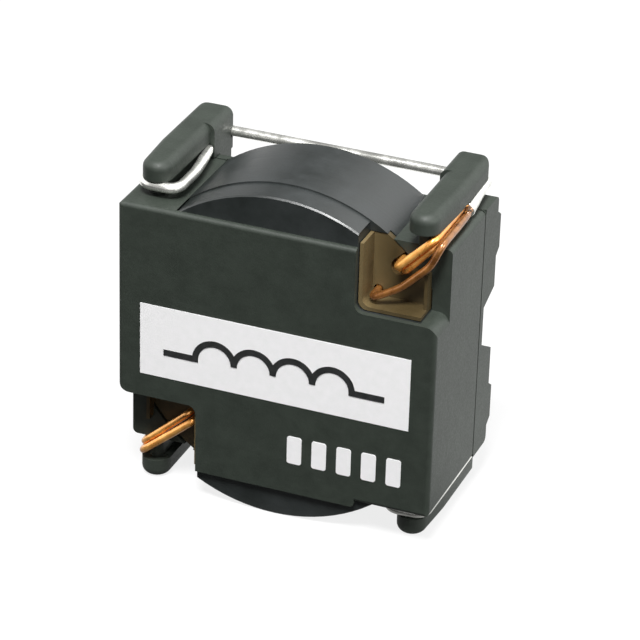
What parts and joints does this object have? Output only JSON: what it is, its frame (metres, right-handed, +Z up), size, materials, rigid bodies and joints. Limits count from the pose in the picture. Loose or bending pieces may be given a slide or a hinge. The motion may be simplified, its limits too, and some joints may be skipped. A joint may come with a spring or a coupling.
{
  "type": "surface mount inductor",
  "caption": "Surface mount power inductor: round ferrite core in a dark moulded case, copper leads in corner windows, tinned terminal wires wound on horns at the corners",
  "frame": {"origin": "on the ground under the middle of the part, which stands on its two lower horns", "axes": "+Z up, -Y out of the printed face, +Y towards the circuit board side, +X to the right seen from the front"},
  "size_m": [0.0186, 0.01, 0.0196],
  "materials": {
    "case_plastic": "dark grey-green moulding, fine matt surface",
    "ferrite": "ground ferrite, dull grey",
    "former_plastic": "tan moulding",
    "enamelled_copper": "copper under clear enamel",
    "tinned_wire": "bright solder dip",
    "white_ink": "white print",
    "dark_ink": "dark print"
  },
  "bodies": {
    "root": {"cover": "case_plastic", "base": "case_plastic", "core_plate": "ferrite", "core_cup": "ferrite", "coil_former": "former_plastic", "winding": "enamelled_copper", "lead_top_a": "enamelled_copper", "lead_top_b": "enamelled_copper", "lead_top_c": "enamelled_copper", "lead_bottom_a": "enamelled_copper", "lead_bottom_b": "enamelled_copper", "terminal_top": "tinned_wire", "terminal_bottom": "tinned_wire", "label_panel": "white_ink", "label_symbol": "dark_ink", "date_bars": "white_ink"}
  },
  "joints": []
}
